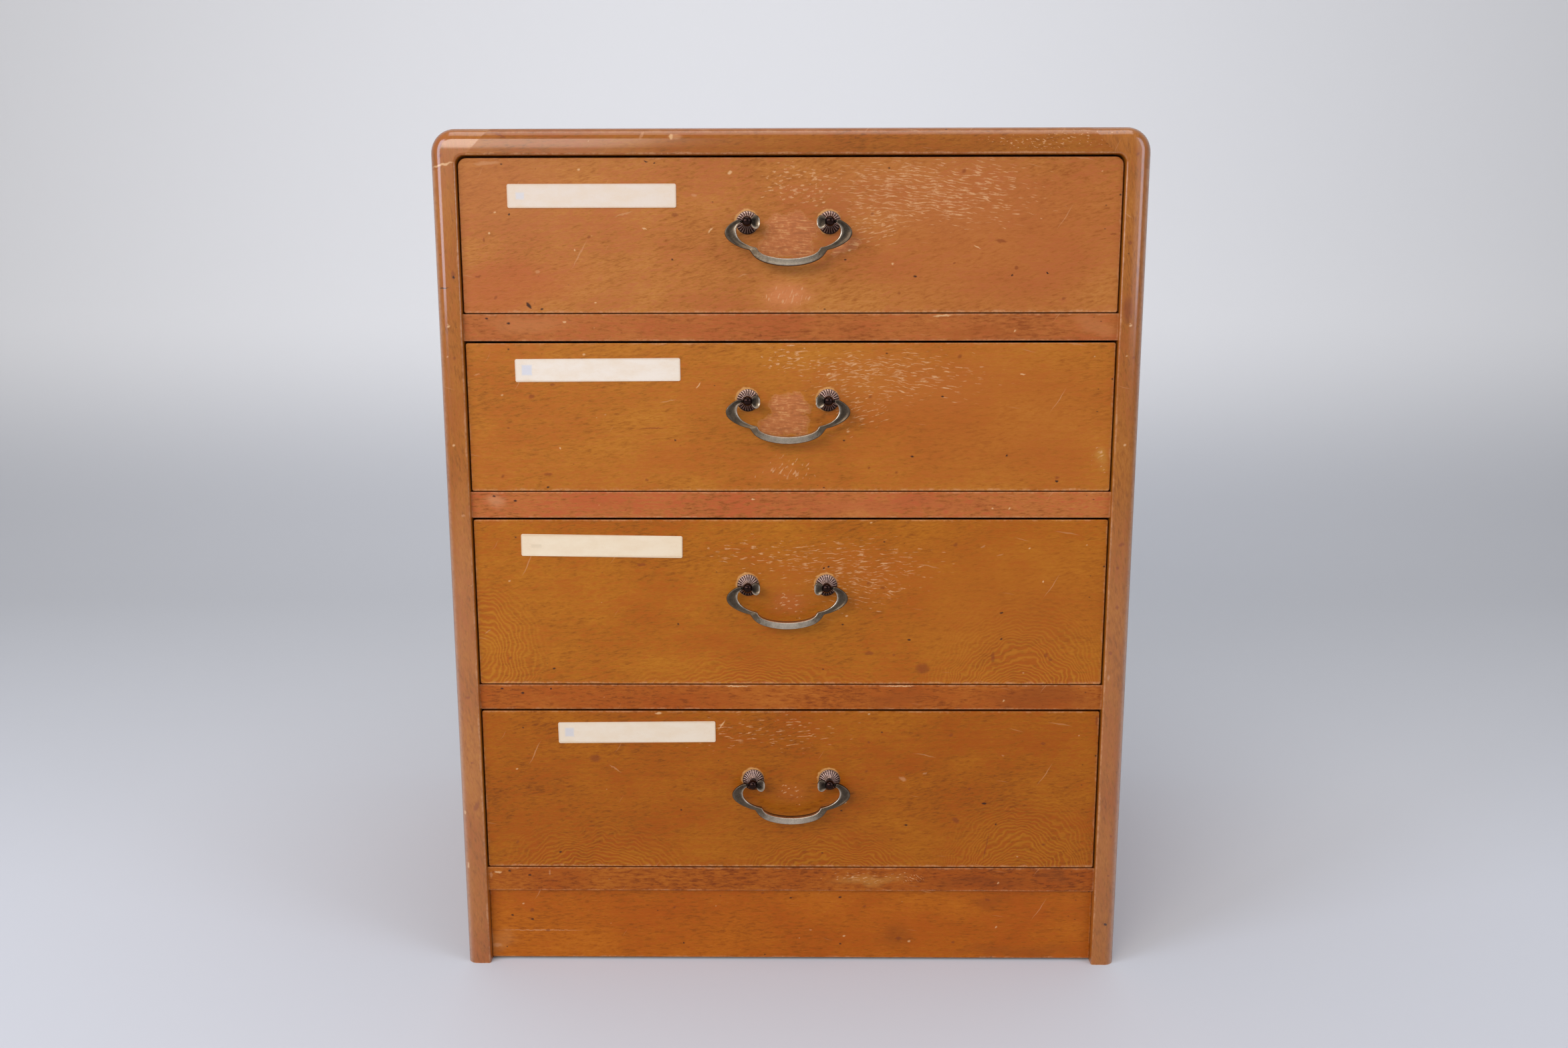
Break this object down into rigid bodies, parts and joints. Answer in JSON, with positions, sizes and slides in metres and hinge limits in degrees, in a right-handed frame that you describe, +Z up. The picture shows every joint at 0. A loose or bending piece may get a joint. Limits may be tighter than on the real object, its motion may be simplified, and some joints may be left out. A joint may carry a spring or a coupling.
{
  "type": "desktop chest of drawers",
  "caption": "Small table-top wooden chest whose drawers slide out, each with a swinging cast drop handle and a paper label.",
  "frame": {"origin": "middle of the bounding box on the surface that the side boards stand on; the box includes the handles", "axes": "+Z up, the drawers face -Y and slide out along -Y, +X to the right of someone facing them"},
  "size_m": [0.375, 0.3082, 0.466],
  "materials": {
    "case_wood": "orange-brown stain under satin varnish, rubbed at the edges",
    "rail_wood": "reddish stain under satin varnish",
    "drawer_face": "orange-brown stain under worn satin varnish, scratched",
    "bare_wood": "planed, unfinished",
    "plywood": "thin plywood, unfinished",
    "label_paper": "aged matt paper",
    "aged_brass": "dark patina, bright where rubbed",
    "dark_brass": "dark brown lacquer, glossy",
    "steel": "dull zinc"
  },
  "bodies": {
    "case": {"left_side": "case_wood", "right_side": "case_wood", "left_corner_block": "case_wood", "right_corner_block": "case_wood", "top_board": "case_wood", "rail_1": "rail_wood", "rail_2": "rail_wood", "rail_3": "rail_wood", "runner_1_left": "bare_wood", "runner_1_right": "bare_wood", "runner_2_left": "bare_wood", "runner_2_right": "bare_wood", "runner_3_left": "bare_wood", "runner_3_right": "bare_wood", "bottom_board": "rail_wood", "plinth_board": "case_wood", "rear_plinth": "bare_wood", "back_panel": "plywood"},
    "drawer_1": {"drawer_1_front": "drawer_face", "drawer_1_left": "bare_wood", "drawer_1_right": "bare_wood", "drawer_1_back": "bare_wood", "drawer_1_bottom": "plywood", "label_1": "label_paper", "rosettes_1": "aged_brass", "posts_1": "dark_brass", "nuts_1": "steel"},
    "bail_1": {"bail_1": "aged_brass"},
    "drawer_2": {"drawer_2_front": "drawer_face", "drawer_2_left": "bare_wood", "drawer_2_right": "bare_wood", "drawer_2_back": "bare_wood", "drawer_2_bottom": "plywood", "label_2": "label_paper", "rosettes_2": "aged_brass", "posts_2": "dark_brass", "nuts_2": "steel"},
    "bail_2": {"bail_2": "aged_brass"},
    "drawer_3": {"drawer_3_front": "drawer_face", "drawer_3_left": "bare_wood", "drawer_3_right": "bare_wood", "drawer_3_back": "bare_wood", "drawer_3_bottom": "plywood", "label_3": "label_paper", "rosettes_3": "aged_brass", "posts_3": "dark_brass", "nuts_3": "steel"},
    "bail_3": {"bail_3": "aged_brass"},
    "drawer_4": {"drawer_4_front": "drawer_face", "drawer_4_left": "bare_wood", "drawer_4_right": "bare_wood", "drawer_4_back": "bare_wood", "drawer_4_bottom": "plywood", "label_4": "label_paper", "rosettes_4": "aged_brass", "posts_4": "dark_brass", "nuts_4": "steel"},
    "bail_4": {"bail_4": "aged_brass"}
  },
  "joints": [
    {"name": "drawer_1_slide", "type": "slide", "parent": "case", "child": "drawer_1", "axis": [0, -1, 0], "range_m": [0, 0.22]},
    {"name": "bail_1_hinge", "type": "hinge", "parent": "drawer_1", "child": "bail_1", "pos_m": [-0.0008, -0.15143, 0.4179], "axis": [-1, 0, 0], "range_deg": [-14, 164]},
    {"name": "drawer_2_slide", "type": "slide", "parent": "case", "child": "drawer_2", "axis": [0, -1, 0], "range_m": [0, 0.22]},
    {"name": "bail_2_hinge", "type": "hinge", "parent": "drawer_2", "child": "bail_2", "pos_m": [-0.0011, -0.15143, 0.3253], "axis": [-1, 0, 0], "range_deg": [-14, 164]},
    {"name": "drawer_3_slide", "type": "slide", "parent": "case", "child": "drawer_3", "axis": [0, -1, 0], "range_m": [0, 0.22]},
    {"name": "bail_3_hinge", "type": "hinge", "parent": "drawer_3", "child": "bail_3", "pos_m": [-0.0016, -0.15143, 0.224], "axis": [-1, 0, 0], "range_deg": [-14, 164]},
    {"name": "drawer_4_slide", "type": "slide", "parent": "case", "child": "drawer_4", "axis": [0, -1, 0], "range_m": [0, 0.22]},
    {"name": "bail_4_hinge", "type": "hinge", "parent": "drawer_4", "child": "bail_4", "pos_m": [0.0006, -0.15143, 0.1115], "axis": [-1, 0, 0], "range_deg": [-14, 164]}
  ]
}
